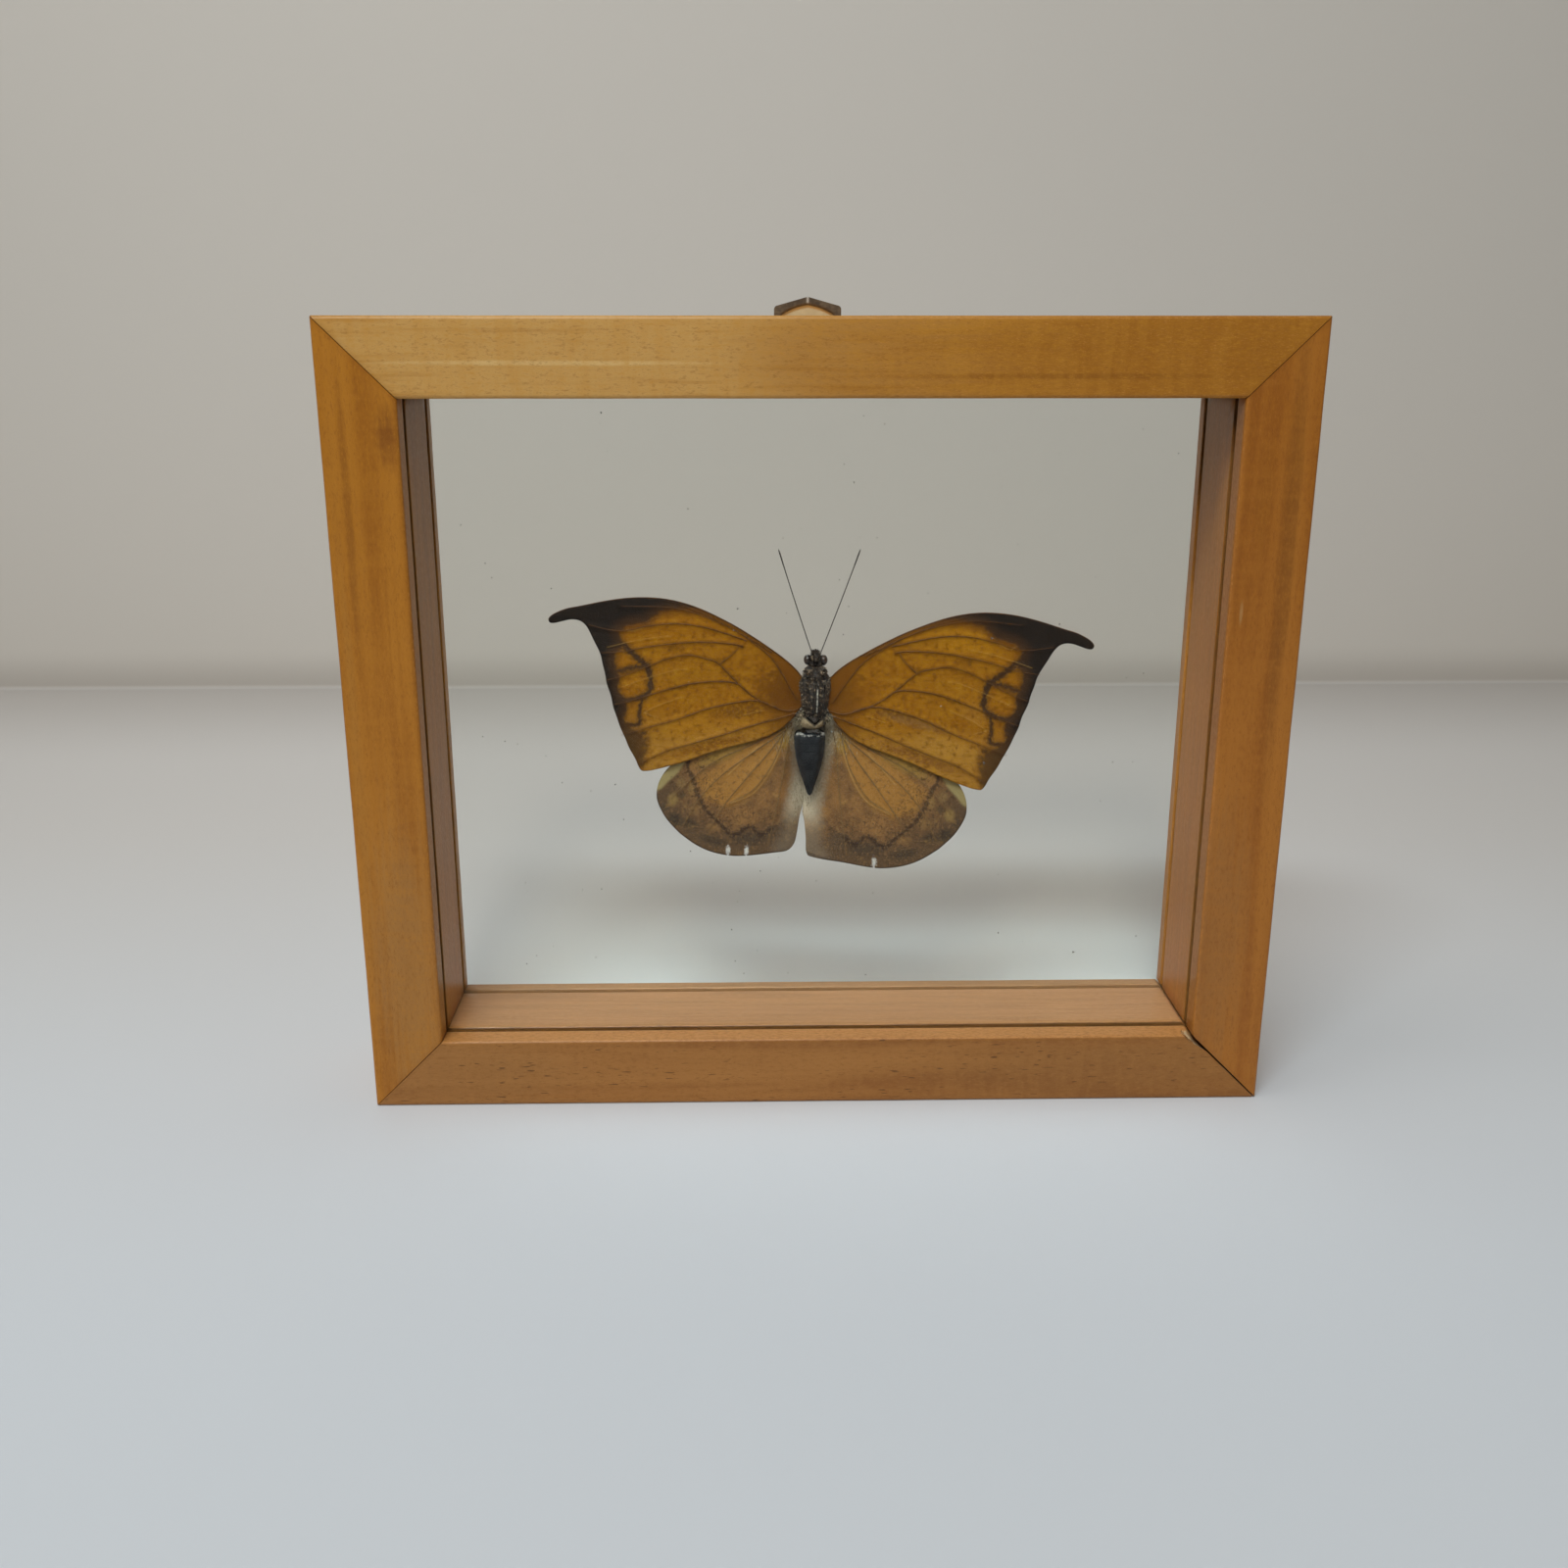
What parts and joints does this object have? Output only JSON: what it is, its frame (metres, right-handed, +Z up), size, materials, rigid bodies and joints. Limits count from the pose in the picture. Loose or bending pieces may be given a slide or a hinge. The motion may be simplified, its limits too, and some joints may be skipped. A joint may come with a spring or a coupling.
{
  "type": "framed butterfly specimen",
  "caption": "Spread falcate-winged orange butterfly sealed between clear panes in a small mitred wooden frame with a hanger plate on its back.",
  "frame": {"origin": "middle of the underside of the lower rail, on the surface the frame stands on", "axes": "+X along the frame to the viewer's right, +Y from the front pane to the back pane, +Z up"},
  "size_m": [0.15, 0.0267, 0.1313],
  "materials": {
    "wood": "satin honey-brown varnish over fine straight grain",
    "pane_glass": "clear polished glass with a little dust",
    "hanger_metal": "dull bronzed stamped sheet",
    "nail_steel": "dull bright nail",
    "body_hair": "brown scales and short hair with glossy bare streaks",
    "abdomen_shell": "matt slate black shell",
    "limb_shell": "dark thin shell",
    "forewing": "scaled membrane, orange with a brown-black tip and margin",
    "hindwing": "scaled membrane, ochre brown with a dark wavy line",
    "clear_glue": "clear set glue"
  },
  "bodies": {
    "root": {"rail_bottom": "wood", "rail_left": "wood", "rail_right": "wood", "rail_top": "wood", "glass_front": "pane_glass", "glass_back": "pane_glass", "hanger_plate": "hanger_metal", "hanger_nail_left": "nail_steel", "hanger_nail_right": "nail_steel", "head": "body_hair", "thorax": "body_hair", "abdomen": "abdomen_shell", "antenna_left": "limb_shell", "antenna_right": "limb_shell", "leg_middle_left": "limb_shell", "leg_middle_right": "limb_shell", "leg_hind_left": "limb_shell", "leg_hind_right": "limb_shell", "forewing_left": "forewing", "forewing_right": "forewing", "hindwing_left": "hindwing", "hindwing_right": "hindwing", "glue_dab": "clear_glue"}
  },
  "joints": []
}
